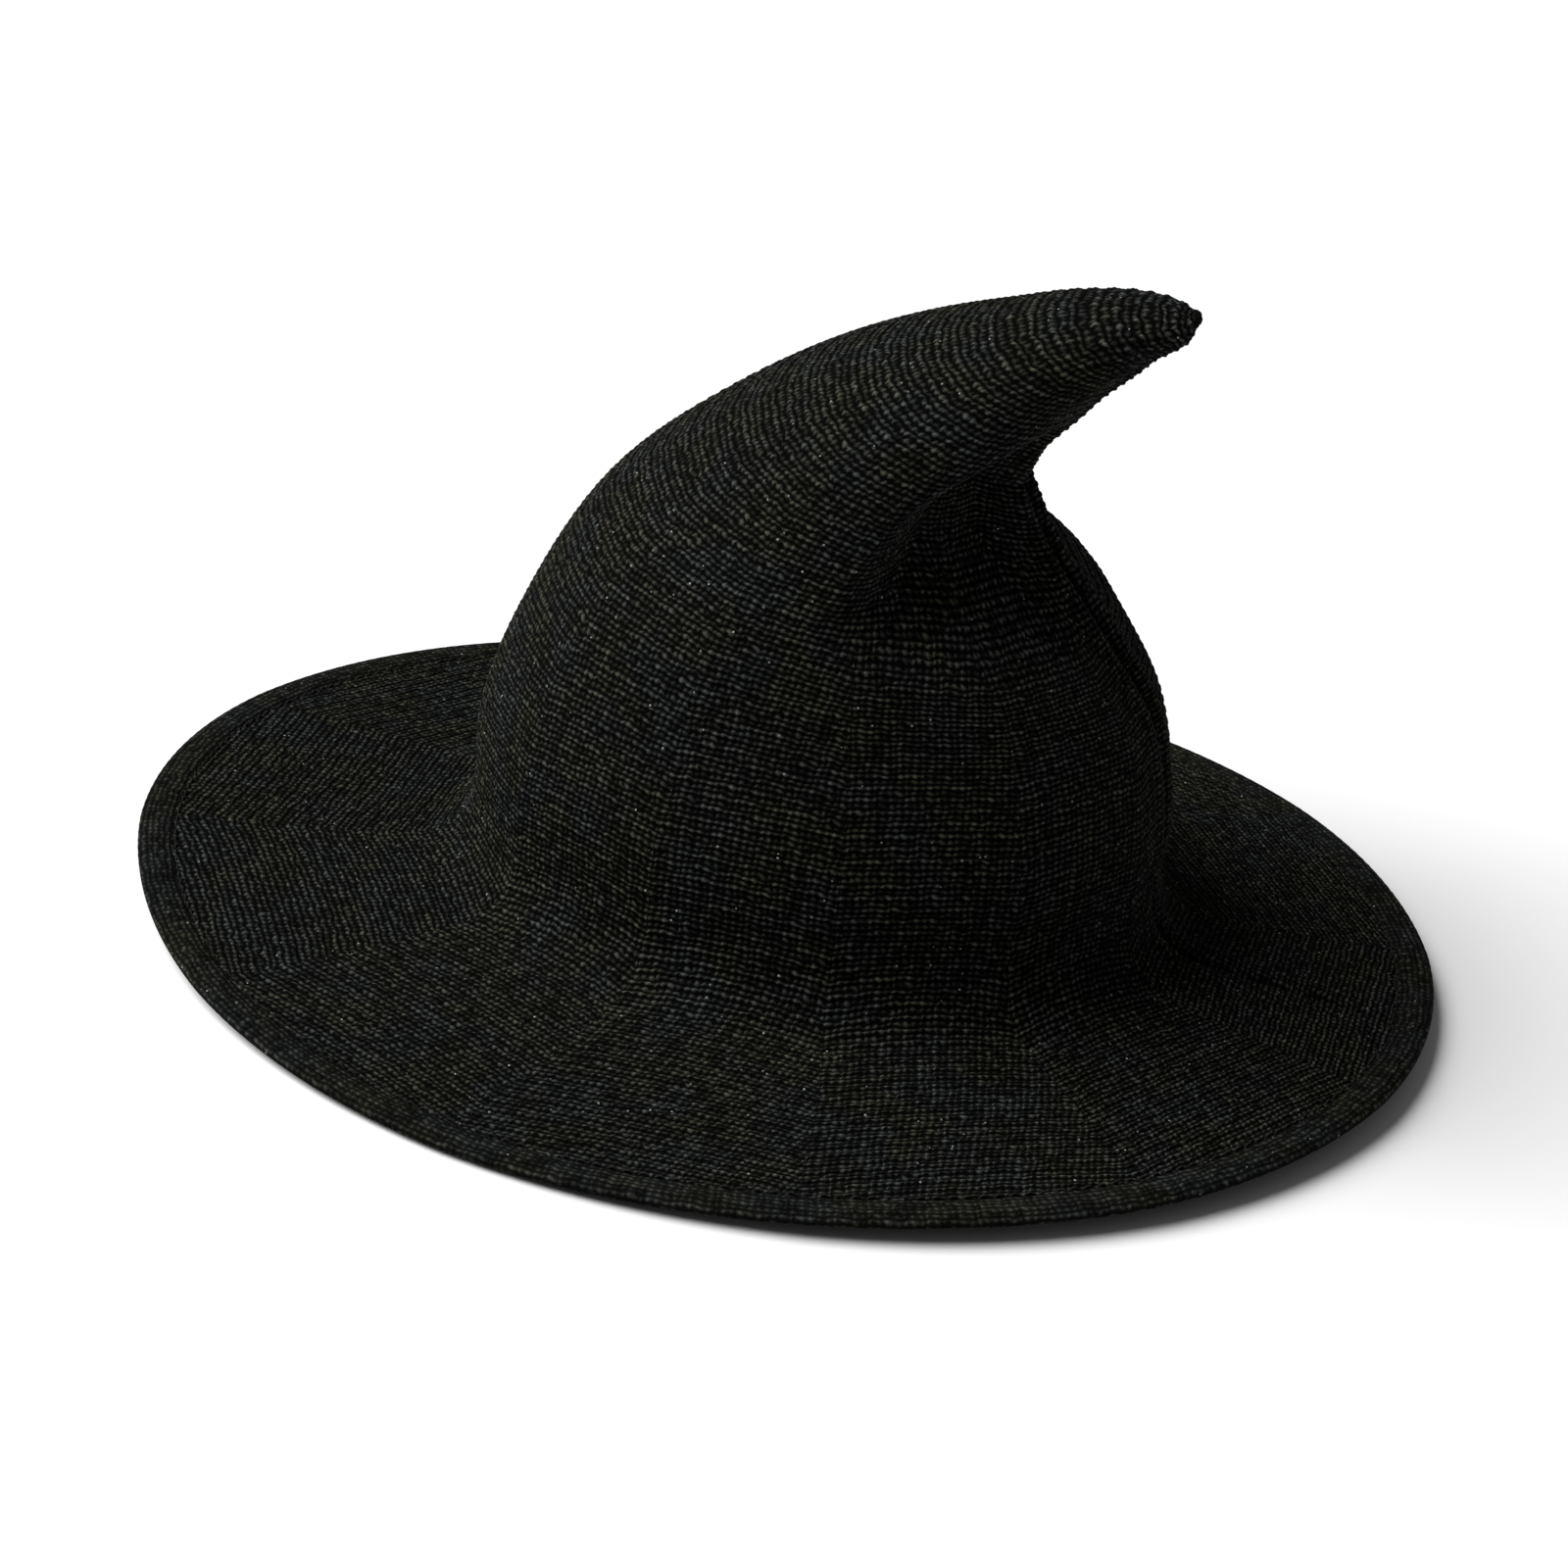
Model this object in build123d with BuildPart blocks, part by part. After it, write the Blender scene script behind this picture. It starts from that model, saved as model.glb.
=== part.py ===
from build123d import *

import math
import os

# A black knitted witch hat, standing on its wide brim. Millimetres.
# +Z up, +X towards the back seam (the tip bends that way), -X the wearer's front.
# The origin is the middle of the brim's outline, on the surface the brim rests on.
# The knit is one fabric. It is split into rigid pieces where it bends in use:
# the crown, its folded tip, and the front and back flaps of the brim.

# brim
brim_length = 382.0  # front to back, over the hem
brim_width = 348.0
brim_seat_height = 15.0  # top of the brim where it meets the crown
knit_thickness = 3.0
hem_width = 10.0
hem_thickness = 6.0
hem_edge_radius = 2.5
knit_height_in_hem = 3.0  # middle of the knit where it enters the hem

# wire and thread in the hem
wire_diameter = 1.6
wire_fit = 0.15  # play all round the wire in the hem's tunnel
ferrule_length = 14.0
ferrule_wall = 0.7
thread_diameter = 0.8
thread_fit = 0.1  # between the thread and the face it lies on
arc_corner = 43.0  # degrees from the X axis to where two arcs of a bent bar meet

# crown
head_length = 201.0  # outside of the crown at its foot, front to back
head_width = 176.0
crown_centre_x = 6.5
crown_height = 208.0  # top of the folded tip
foot_flare_radius = 18.0  # concave curve from the crown into the brim
flare_steps = 5

# folded tip
tip_fold_down = 10.0  # degrees the tip can still be pressed down
tip_fold_spare = 2.0  # degrees left open after that
tip_gap = 0.6  # between each rim and the fold's own plane
tip_axis_offset = 1.0  # the fold turns just outside the fabric
tip_end_wall = 4.0

# brim flaps
flap_hinge_gap = 5.0  # slot along each turning line
flap_line_clearance = 6.0  # from the foot of the crown to the slot

# sweatband, label and seam, inside the crown
sweatband_height = 22.0
sweatband_thickness = 1.0
sweatband_fit = 0.3
sweatband_headroom = 1.0  # upright wall of the crown above the band
band_tab_width = 12.0
label_gap = 1.0
label_width = 34.0
label_height = 16.0
label_thickness = 0.6
seam_allowance = 5.0
seam_thickness = 2.4
seam_fit = 0.15
seam_end_height = 1.0  # of the seam allowance where it runs out at the hem
seam_share_below_fold = 0.5  # of the last section the crown's seam allowance reaches
seam_share_above_fold = 0.7  # of the first section the tip's seam allowance leaves open

# Sections of the crown, from its foot to the tip. Each is an oval across the
# plane through its front and back points: front (x, z), back (x, z), half width,
# for a crown 201 long, 176 wide and 208 high.
drawn_length, drawn_width, drawn_height, drawn_centre_x = 201.0, 176.0, 208.0, 6.5
foot = ((-94, 33), (107, 33), 88)
lower_sections = [
    ((-94, 56), (107, 56), 88),
    ((-86, 86), (100, 85), 85),
    ((-64, 129), (82, 110), 80),
    ((-42, 150), (68, 130), 72),
]
fold = ((-15, 170), (56, 149), 62)
upper_sections = [
    ((10, 184), (62, 165), 48),
    ((36, 195), (72, 180), 34),
    ((75, 208), (86, 194), 17),
    ((86, 206), (91, 199), 9),
]

wall_start = brim_seat_height + foot_flare_radius
sweatband_bottom = wall_start
wall_top = sweatband_bottom + sweatband_height + sweatband_headroom
drawn_wall_top = lower_sections[0][0][1]


def fitted(section):
    """A section moved and stretched from the drawn crown to this crown."""
    front, back, half = section

    def place(point):
        x, z = point
        rise = (z - drawn_wall_top) / (drawn_height - drawn_wall_top)
        height = wall_top + rise * (crown_height - wall_top)
        return (
            crown_centre_x + (x - drawn_centre_x) * head_length / drawn_length,
            height if z >= drawn_wall_top else wall_start,
        )

    return place(front), place(back), half * head_width / drawn_width


def oval_across(section, inset=0.0):
    """The oval sketch of a section, made smaller all round by an inset."""
    (fx, fz), (bx, bz), half = section
    run = Vector(bx - fx, 0, bz - fz)
    across = Plane(
        origin=((fx + bx) / 2, 0, (fz + bz) / 2),
        x_dir=run,
        z_dir=run.cross(Vector(0, 1, 0)),
    )
    with BuildSketch(across, mode=Mode.PRIVATE) as sketch:
        Ellipse(run.length / 2 - inset, half - inset)
    return sketch.sketch


def oval_flat(x_radius, y_radius, height, centre_x=0.0):
    """A level oval sketch at a height."""
    with BuildSketch(Plane((centre_x, 0, height)), mode=Mode.PRIVATE) as sketch:
        Ellipse(x_radius, y_radius)
    return sketch.sketch


foot_x_radius, foot_y_radius = head_length / 2, head_width / 2
brim_x_radius, brim_y_radius = brim_length / 2, brim_width / 2
brim_under = brim_seat_height - knit_thickness
crown_sections = [fitted(s) for s in [foot] + lower_sections + [fold]]
tip_sections = [fitted(s) for s in [fold] + upper_sections]


def flare(inset):
    """Level ovals up the concave foot, from the brim to the crown's wall."""
    ovals = []
    for step in range(flare_steps + 1):
        turn = math.radians(270 - 90 * step / flare_steps)
        reach = foot_flare_radius + (foot_flare_radius + inset) * math.cos(turn)
        height = brim_seat_height + foot_flare_radius
        height += (foot_flare_radius + inset) * math.sin(turn)
        ovals.append(
            oval_flat(foot_x_radius + reach, foot_y_radius + reach, height, crown_centre_x)
        )
    return ovals


# The fold turns about a line across the hat, just outside the front of the
# fabric, and the back of the fold opens and closes as a wedge.
(fold_fx, fold_fz), (fold_bx, fold_bz), fold_half = fitted(fold)
fold_slope = math.degrees(math.atan2(fold_bz - fold_fz, fold_bx - fold_fx))
fold_axis = (
    fold_fx - tip_axis_offset * math.cos(math.radians(fold_slope)),
    fold_fz - tip_axis_offset * math.sin(math.radians(fold_slope)),
)
wedge = tip_fold_down + tip_fold_spare


def rim_plane(slope, offset):
    """A plane across the hat through the fold's line, at a slope, moved along its normal."""
    run = Vector(math.cos(math.radians(slope)), 0, math.sin(math.radians(slope)))
    normal = Vector(-math.sin(math.radians(slope)), 0, math.cos(math.radians(slope)))
    start = Vector(fold_axis[0], 0, fold_axis[1]) + normal * offset
    return Plane(origin=start, x_dir=run, z_dir=normal)


crown_rim = rim_plane(fold_slope - wedge / 2, -tip_gap)
tip_rim = rim_plane(fold_slope + wedge / 2, tip_gap)

# ---------------------------------------------------------------- knitted fabric

# Crown: a knitted tube that narrows to the fold, with its foot curved out.
flare_reach = foot_flare_radius
with BuildPart() as crown_knit:
    skirt = oval_flat(
        foot_x_radius + flare_reach, foot_y_radius + flare_reach, brim_under, crown_centre_x
    )
    loft([skirt] + flare(0), ruled=True)
    loft([oval_across(s) for s in crown_sections + tip_sections[1:2]], ruled=True)
    below = oval_flat(
        foot_x_radius + flare_reach,
        foot_y_radius + flare_reach,
        brim_under - knit_thickness,
        crown_centre_x,
    )
    loft([below] + flare(knit_thickness), ruled=True, mode=Mode.SUBTRACT)
    loft(
        [oval_across(s, knit_thickness) for s in crown_sections + tip_sections[1:2]],
        ruled=True,
        mode=Mode.SUBTRACT,
    )
    split(bisect_by=crown_rim, keep=Keep.BOTTOM)
crown_knit.part.label = "crown_knit"

# Tip: the closed end of the same tube, folded back over the seam.
with BuildPart() as tip_knit:
    loft([oval_across(s) for s in crown_sections[-2:-1] + tip_sections], ruled=True)
    end_front, end_back, end_half = tip_sections[-1]
    before_front, before_back, before_half = tip_sections[-2]
    spine = Vector(
        end_front[0] + end_back[0] - before_front[0] - before_back[0],
        0,
        end_front[1] + end_back[1] - before_front[1] - before_back[1],
    )
    share = 1 - tip_end_wall / (spine.length / 2)

    def part_way(a, b):
        return (a[0] + share * (b[0] - a[0]), a[1] + share * (b[1] - a[1]))

    last_hollow = (
        part_way(before_front, end_front),
        part_way(before_back, end_back),
        before_half + share * (end_half - before_half),
    )
    hollow = crown_sections[-2:-1] + tip_sections[:-1] + [last_hollow]
    loft([oval_across(s, knit_thickness) for s in hollow], ruled=True, mode=Mode.SUBTRACT)
    split(bisect_by=tip_rim, keep=Keep.TOP)
tip_knit.part.label = "tip_knit"

# Brim: a shallow cone of the same knit, from the foot of the crown to the hem.
knit_x_radius, knit_y_radius = brim_x_radius - hem_width, brim_y_radius - hem_width
knit_top_in_hem = knit_height_in_hem + knit_thickness / 2
knit_under_in_hem = knit_height_in_hem - knit_thickness / 2
inner_x_radius, inner_y_radius = foot_x_radius + flare_reach, foot_y_radius + flare_reach
front_line_x = crown_centre_x - inner_x_radius - flap_line_clearance - flap_hinge_gap / 2
back_line_x = crown_centre_x + inner_x_radius + flap_line_clearance + flap_hinge_gap / 2
tall = 3 * crown_height

with BuildPart() as whole_brim:
    loft(
        [
            oval_flat(knit_x_radius, knit_y_radius, knit_under_in_hem),
            oval_flat(knit_x_radius, knit_y_radius, knit_top_in_hem),
            oval_flat(inner_x_radius, inner_y_radius, brim_seat_height, crown_centre_x),
        ],
        ruled=True,
    )
    loft(
        [
            oval_flat(knit_x_radius, knit_y_radius, knit_under_in_hem),
            oval_flat(inner_x_radius, inner_y_radius, brim_under, crown_centre_x),
        ],
        ruled=True,
        mode=Mode.SUBTRACT,
    )
    with BuildSketch(Plane((crown_centre_x, 0, 0))):
        Ellipse(inner_x_radius, inner_y_radius)
    extrude(amount=tall, mode=Mode.SUBTRACT)

# Hem: the edge turned under and stitched down, a flat tunnel for the wire.
wire_x_radius, wire_y_radius = brim_x_radius - hem_width / 2, brim_y_radius - hem_width / 2
wire_height = hem_thickness / 2


def arc_shifts(x_radius, y_radius):
    """How far the centres of an oval's end arcs and side arcs lie from its middle."""
    turn = math.radians(arc_corner)
    end_shift = (x_radius - y_radius) / (1 + math.tan(turn) - 1 / math.cos(turn))
    return end_shift, end_shift * math.tan(turn)


def arc_inset(x_radius, y_radius):
    """How far an oval of four arcs runs inside the true oval where two arcs meet."""
    turn = math.radians(arc_corner)
    end_shift = arc_shifts(x_radius, y_radius)[0]
    x = end_shift + (x_radius - end_shift) * math.cos(turn)
    y = (x_radius - end_shift) * math.sin(turn)
    return (1 - math.hypot(x / x_radius, y / y_radius)) * math.hypot(x, y)


def round_the_brim(x_radius, y_radius, height, radius):
    """A round bar bent into a level oval of four arcs that meet smoothly."""
    end_shift, side_shift = arc_shifts(x_radius, y_radius)
    end_radius, side_radius = x_radius - end_shift, y_radius + side_shift
    corner = arc_corner
    with BuildPart(mode=Mode.PRIVATE) as bar:
        with BuildLine(Plane((0, 0, height))) as route:
            CenterArc((end_shift, 0), end_radius, -corner, 2 * corner)
            CenterArc((0, -side_shift), side_radius, corner, 180 - 2 * corner)
            CenterArc((-end_shift, 0), end_radius, 180 - corner, 2 * corner)
            CenterArc((0, side_shift), side_radius, 180 + corner, 180 - 2 * corner)
        for arc in route.edges():
            with BuildSketch(arc ^ 0):
                Circle(radius)
            sweep(path=arc)
    return bar.part


with BuildPart() as whole_hem:
    with BuildSketch(Plane.XY):
        Ellipse(brim_x_radius, brim_y_radius)
        Ellipse(knit_x_radius, knit_y_radius, mode=Mode.SUBTRACT)
    extrude(amount=hem_thickness)
    outer_edges = whole_hem.edges().sort_by(lambda e: e.length)[-2:]
    fillet(outer_edges, hem_edge_radius)
    tunnel_radius = wire_diameter / 2 + wire_fit
    add(
        round_the_brim(wire_x_radius, wire_y_radius, wire_height, tunnel_radius),
        mode=Mode.SUBTRACT,
    )

wire_loop = round_the_brim(wire_x_radius, wire_y_radius, wire_height, wire_diameter / 2)

# Stitching: the thread that holds the hem down, along its inner edge.
thread_x_radius = knit_x_radius - thread_diameter
thread_y_radius = knit_y_radius - thread_diameter
knit_rise = brim_seat_height - knit_top_in_hem
knit_slope = knit_rise / min(
    knit_x_radius - crown_centre_x - inner_x_radius, knit_y_radius - inner_y_radius
)
thread_reach = thread_diameter + arc_inset(thread_x_radius, thread_y_radius)
thread_height = knit_top_in_hem + knit_slope * thread_reach + thread_diameter / 2 + thread_fit
thread_loop = round_the_brim(
    thread_x_radius, thread_y_radius, thread_height, thread_diameter / 2
)

front_edge_x = front_line_x - flap_hinge_gap / 2
back_edge_x = back_line_x + flap_hinge_gap / 2
sides_front_x = front_line_x + flap_hinge_gap / 2
sides_back_x = back_line_x - flap_hinge_gap / 2


def slab(low, high, axis_across=False):
    """A tall block between two places along X, or the left or right half of one."""
    with BuildPart(mode=Mode.PRIVATE) as block:
        with Locations(((low + high) / 2, 0, 0)):
            Box(high - low, 2 * brim_width, tall)
        if axis_across:
            split(bisect_by=Plane.XZ, keep=axis_across)
    return block.part


def cut_out(whole, name, low, high, half=False):
    """The stretch of a whole ring between two places along X."""
    with BuildPart(mode=Mode.PRIVATE) as piece:
        add(whole)
        add(slab(low, high, half), mode=Mode.INTERSECT)
    piece.part.label = name
    return piece.part


left, right = Keep.TOP, Keep.BOTTOM
reach_x = brim_length
stretches = {
    "front": (-reach_x, front_edge_x, False),
    "left": (sides_front_x, sides_back_x, left),
    "right": (sides_front_x, sides_back_x, right),
    "back": (back_edge_x, reach_x, False),
}

pieces = {}
pieces["brim_sides_knit"] = cut_out(
    whole_brim.part, "brim_sides_knit", sides_front_x, sides_back_x
)
pieces["brim_front_knit"] = cut_out(whole_brim.part, "brim_front_knit", -reach_x, front_edge_x)
pieces["brim_back_knit"] = cut_out(whole_brim.part, "brim_back_knit", back_edge_x, reach_x)

for place, (low, high, half) in stretches.items():
    pieces[f"hem_{place}"] = cut_out(whole_hem.part, f"hem_{place}", low, high, half)
    pieces[f"hem_wire_{place}"] = cut_out(wire_loop, f"hem_wire_{place}", low, high, half)
    pieces[f"hem_stitching_{place}"] = cut_out(
        thread_loop, f"hem_stitching_{place}", low, high, half
    )

# Ferrule: the crimped sleeve that joins the wire's two ends at the back seam.
with BuildPart() as wire_ferrule:
    with BuildSketch(Plane.XZ.offset(-ferrule_length / 2)):
        with Locations((wire_x_radius, wire_height)):
            Circle(wire_diameter / 2 + wire_fit + ferrule_wall)
    extrude(amount=ferrule_length)
    bore = round_the_brim(
        wire_x_radius, wire_y_radius, wire_height, wire_diameter / 2 + wire_fit / 2
    )
    add(bore, mode=Mode.SUBTRACT)
wire_ferrule.part.label = "wire_ferrule"

with BuildPart() as hem_back:
    add(pieces["hem_back"])
    pocket = wire_diameter / 2 + wire_fit + ferrule_wall + wire_fit
    with BuildSketch(Plane.XZ.offset(-ferrule_length / 2 - wire_fit)):
        with Locations((wire_x_radius, wire_height)):
            Circle(pocket)
    extrude(amount=ferrule_length + 2 * wire_fit, mode=Mode.SUBTRACT)
hem_back.part.label = "hem_back"
pieces["hem_back"] = hem_back.part

# ---------------------------------------------------------------- inside the crown

band_x_radius = foot_x_radius - knit_thickness - sweatband_fit
band_y_radius = foot_y_radius - knit_thickness - sweatband_fit

with BuildPart() as sweatband:
    with BuildSketch(Plane((crown_centre_x, 0, sweatband_bottom))):
        Ellipse(band_x_radius, band_y_radius)
        Ellipse(
            band_x_radius - sweatband_thickness,
            band_y_radius - sweatband_thickness,
            mode=Mode.SUBTRACT,
        )
    extrude(amount=sweatband_height)
sweatband.part.label = "sweatband"

# Tab: the band's end, turned over its start and sewn down at the back.
with BuildPart() as sweatband_tab:
    with BuildSketch(Plane((crown_centre_x, 0, sweatband_bottom))):
        Ellipse(band_x_radius - sweatband_thickness, band_y_radius - sweatband_thickness)
        Ellipse(
            band_x_radius - 2 * sweatband_thickness,
            band_y_radius - 2 * sweatband_thickness,
            mode=Mode.SUBTRACT,
        )
        with Locations((band_x_radius, 0)):
            Rectangle(head_length / 4, band_tab_width, mode=Mode.INTERSECT)
    extrude(amount=sweatband_height)
sweatband_tab.part.label = "sweatband_tab"

# Label: a blank folded care label, sewn to the band beside the tab.
with BuildPart() as care_label:
    label_bottom = sweatband_bottom + (sweatband_height - label_height) / 2
    with BuildSketch(Plane((crown_centre_x, 0, label_bottom))):
        Ellipse(band_x_radius - sweatband_thickness, band_y_radius - sweatband_thickness)
        Ellipse(
            band_x_radius - sweatband_thickness - label_thickness,
            band_y_radius - sweatband_thickness - label_thickness,
            mode=Mode.SUBTRACT,
        )
        label_y = band_tab_width / 2 + label_gap + label_width / 2
        with Locations((band_x_radius, -label_y)):
            Rectangle(head_length / 4, label_width, mode=Mode.INTERSECT)
    extrude(amount=label_height)
care_label.part.label = "care_label"

# Band stitching: the thread that holds the band's upper edge to the crown.
with BuildPart() as sweatband_stitching:
    with BuildSketch(Plane((crown_centre_x, 0, sweatband_bottom + sweatband_height))):
        Ellipse(band_x_radius, band_y_radius)
        Ellipse(
            band_x_radius - sweatband_thickness,
            band_y_radius - sweatband_thickness,
            mode=Mode.SUBTRACT,
        )
    extrude(amount=thread_diameter)
sweatband_stitching.part.label = "sweatband_stitching"

# Seam allowance: the two linked edges of the knit, standing inward as one ridge
# along the back of the crown and of the tip, and down under the back of the brim.


def seam_strip(points, name):
    """A strip of seam allowance in the middle plane, between a back line and its inset."""
    with BuildPart() as strip:
        with BuildSketch(Plane.XZ):
            with BuildLine():
                Polyline(points, close=True)
            make_face()
        extrude(amount=seam_thickness / 2, both=True)
    strip.part.label = name
    return strip.part


def back_points(sections, inset):
    """Points of the back line, moved into the crown across each section."""
    points = []
    for (fx, fz), (bx, bz), _ in sections:
        run = math.hypot(bx - fx, bz - fz)
        points.append((bx - inset * (bx - fx) / run, bz - inset * (bz - fz) / run))
    return points


def between(section_a, section_b, share):
    """A section part of the way from one to another."""
    def mix(a, b):
        return (a[0] + share * (b[0] - a[0]), a[1] + share * (b[1] - a[1]))

    half = section_a[2] + share * (section_b[2] - section_a[2])
    return mix(section_a[0], section_b[0]), mix(section_a[1], section_b[1]), half


near_side, far_side = knit_thickness + seam_fit, knit_thickness + seam_fit + seam_allowance
crown_seam_sections = [
    *crown_sections[1:-1],
    between(crown_sections[-2], crown_sections[-1], seam_share_below_fold),
]
pieces["crown_seam_allowance"] = seam_strip(
    back_points(crown_seam_sections, near_side) + back_points(crown_seam_sections, far_side)[::-1],
    "crown_seam_allowance",
)
tip_seam_start = between(tip_sections[0], tip_sections[1], seam_share_above_fold)
tip_seam_sections = [tip_seam_start, *tip_sections[1:3]]
pieces["tip_seam_allowance"] = seam_strip(
    back_points(tip_seam_sections, near_side) + back_points(tip_seam_sections, far_side)[::-1],
    "tip_seam_allowance",
)

# Under the brim the ridge lies flat against the knit, between the slot and the hem.
brim_fall = (knit_under_in_hem - brim_under) / (knit_x_radius - crown_centre_x - inner_x_radius)
brim_seam_start, brim_seam_end = back_edge_x, knit_x_radius - hem_width / 2


def under_brim(x):
    """Height of the brim's underside on the middle line at the back."""
    return brim_under + brim_fall * (x - crown_centre_x - inner_x_radius) - seam_fit


pieces["brim_seam_allowance"] = seam_strip(
    [
        (brim_seam_start, under_brim(brim_seam_start)),
        (brim_seam_end, under_brim(brim_seam_end)),
        (brim_seam_end, under_brim(brim_seam_end) - seam_end_height),
        (brim_seam_start, under_brim(brim_seam_start) - seam_allowance / 2),
    ],
    "brim_seam_allowance",
)

pieces["sweatband_stitching"] = sweatband_stitching.part
for made in (crown_knit, tip_knit, wire_ferrule, sweatband, sweatband_tab, care_label):
    pieces[made.part.label] = made.part

os.makedirs("parts", exist_ok=True)
for name, piece in pieces.items():
    export_step(piece, f"parts/{name}.step")
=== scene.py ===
import math

import bpy
import numpy as np
from mathutils import Matrix, Vector


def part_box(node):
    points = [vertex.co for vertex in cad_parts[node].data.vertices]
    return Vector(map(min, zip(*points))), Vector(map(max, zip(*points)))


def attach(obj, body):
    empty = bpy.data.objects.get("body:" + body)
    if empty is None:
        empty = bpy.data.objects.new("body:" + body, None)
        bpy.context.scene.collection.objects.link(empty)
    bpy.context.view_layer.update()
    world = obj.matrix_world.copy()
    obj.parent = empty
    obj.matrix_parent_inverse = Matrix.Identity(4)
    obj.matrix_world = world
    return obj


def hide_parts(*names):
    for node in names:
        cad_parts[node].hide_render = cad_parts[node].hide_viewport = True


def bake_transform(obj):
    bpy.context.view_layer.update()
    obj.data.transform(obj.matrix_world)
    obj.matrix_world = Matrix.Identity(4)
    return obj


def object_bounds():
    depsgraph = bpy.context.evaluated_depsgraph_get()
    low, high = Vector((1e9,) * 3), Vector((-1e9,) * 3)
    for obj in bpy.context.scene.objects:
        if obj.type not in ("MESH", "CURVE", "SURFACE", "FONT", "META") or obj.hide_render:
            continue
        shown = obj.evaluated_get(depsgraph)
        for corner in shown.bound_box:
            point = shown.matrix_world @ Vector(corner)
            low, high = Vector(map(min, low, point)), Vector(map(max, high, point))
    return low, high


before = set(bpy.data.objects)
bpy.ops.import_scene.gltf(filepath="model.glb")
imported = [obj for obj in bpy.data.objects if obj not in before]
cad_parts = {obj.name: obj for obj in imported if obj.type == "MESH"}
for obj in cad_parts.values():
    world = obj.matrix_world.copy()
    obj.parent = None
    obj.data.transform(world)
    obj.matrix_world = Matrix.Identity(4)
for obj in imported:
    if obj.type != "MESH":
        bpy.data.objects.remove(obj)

cad_box = [list(corner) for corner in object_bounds()]

# ------------------------------------------------------------------ the knitted fabric
# One black fabric, knitted sideways in wedges from the brim's edge to the tip, so its
# ridges run round the hat. It is linked shut at the back, where the seam leaves a groove.
# The wire in the hem holds the brim, and the tip folds back over the seam.
mm = 0.001
ridge_height = 3.6  # mm from one groove to the next, measured up the hat
stitch_width = 4.3  # mm
wedges = 12
wedge_turn = 2 * math.pi / wedges
first_wedge = wedge_turn / 2  # the seam lies in the middle of a wedge
rows_per_ridge = 7
knit_relief = 0.75  # mm from a groove to the top of a loop
middle_height = 0.75  # the part of a loop's height that lies on the fabric's face
plain_loft = 0.6  # the loops' height on sides that are modelled without loops
knit_thickness = 3.0
edge_facet = 0.05  # share of the wedge lines' corners that shows in the brim's outline
edge_lift = 6.4  # mm from the floor to the middle of the hem, on average
flare_radius = 18.0  # mm, where the brim curves up into the crown
hem_width = 10.0
knit_past_band = 3.3  # mm from the sweatband's outer side to the middle of the fabric

brim_half_length = (cad_box[1][0] - cad_box[0][0]) / 2 / mm
brim_half_width = (cad_box[1][1] - cad_box[0][1]) / 2 / mm
band_low, band_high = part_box("sweatband")
crown_x = (band_low[0] + band_high[0]) / 2 / mm
foot_height = band_low[2] / mm
foot_half_length = (band_high[0] - band_low[0]) / 2 / mm + knit_past_band
foot_half_width = (band_high[1] - band_low[1]) / 2 / mm + knit_past_band

# Ovals up the hat: front (x, z), back (x, z) and half width, in mm.
brim_start = hem_width - 1.0  # the knit runs on a little way into the hem
brim_start_height = 7.8
lowest = (brim_half_length - brim_start, brim_half_width - brim_start)
rings = [((-lowest[0], brim_start_height), (lowest[0], brim_start_height), lowest[1])]
for turn in (270, 252, 234, 216, 198):
    reach = flare_radius * (1 + math.cos(math.radians(turn)))
    height = foot_height + flare_radius * math.sin(math.radians(turn))
    rings.append((
        (crown_x - foot_half_length - reach, height),
        (crown_x + foot_half_length + reach, height),
        foot_half_width + reach,
    ))
foot = len(rings)  # the ring where the flare becomes the crown's wall
rings += [
    ((-94, 33), (107, 33), 88),
    ((-94, 56), (107, 56), 88),
    ((-86, 86), (100, 85), 85),
    ((-64, 129), (82, 110), 80),
    ((-42, 150), (68, 130), 72),
    ((-15, 170), (56, 149), 62),
]
fold = len(rings) - 1
rings += [
    ((10, 184), (62, 165), 48),
    ((36, 195), (72, 180), 34),
    ((57, 203), (80, 188), 24.5),
    ((75, 207), (86, 194), 17),
    ((84.5, 207.3), (91, 197.3), 12),
    ((90, 206), (93.2, 199.8), 8),
    ((92.9, 203.6), (93.5, 202.4), 0.9),
]
front_line = np.array([r[0] for r in rings], float)
back_line = np.array([r[1] for r in rings], float)
half_widths = np.array([r[2] for r in rings], float)


def path_steps(points):
    return np.linalg.norm(np.diff(points, axis=0), axis=1)


middle_line = np.c_[(front_line + back_line) / 2, half_widths]
mean_steps = path_steps(front_line) + path_steps(back_line) + 2 * path_steps(middle_line[:, 1:])
ridge_at = np.concatenate([[0], np.cumsum(mean_steps / 4 / ridge_height)])


def smooth_curve(knots, values, at):
    """A smooth curve through values at knots, read at many places."""
    values = np.asarray(values, float)
    values = values.reshape(len(values), -1)
    step = np.diff(knots)[:, None]
    rise = np.diff(values, axis=0) / step
    slope = np.empty_like(values)
    slope[1:-1] = (rise[:-1] * step[1:] + rise[1:] * step[:-1]) / (step[1:] + step[:-1])
    slope[0], slope[-1] = rise[0], rise[-1]
    i = np.clip(np.searchsorted(knots, at, side="right") - 1, 0, len(knots) - 2)
    h = step[i]
    t = (at - knots[i])[:, None] / h
    start = (2 * t**3 - 3 * t**2 + 1) * values[i] + (t**3 - 2 * t**2 + t) * h * slope[i]
    end = (3 * t**2 - 2 * t**3) * values[i + 1] + (t**3 - t**2) * h * slope[i + 1]
    return start + end


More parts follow.
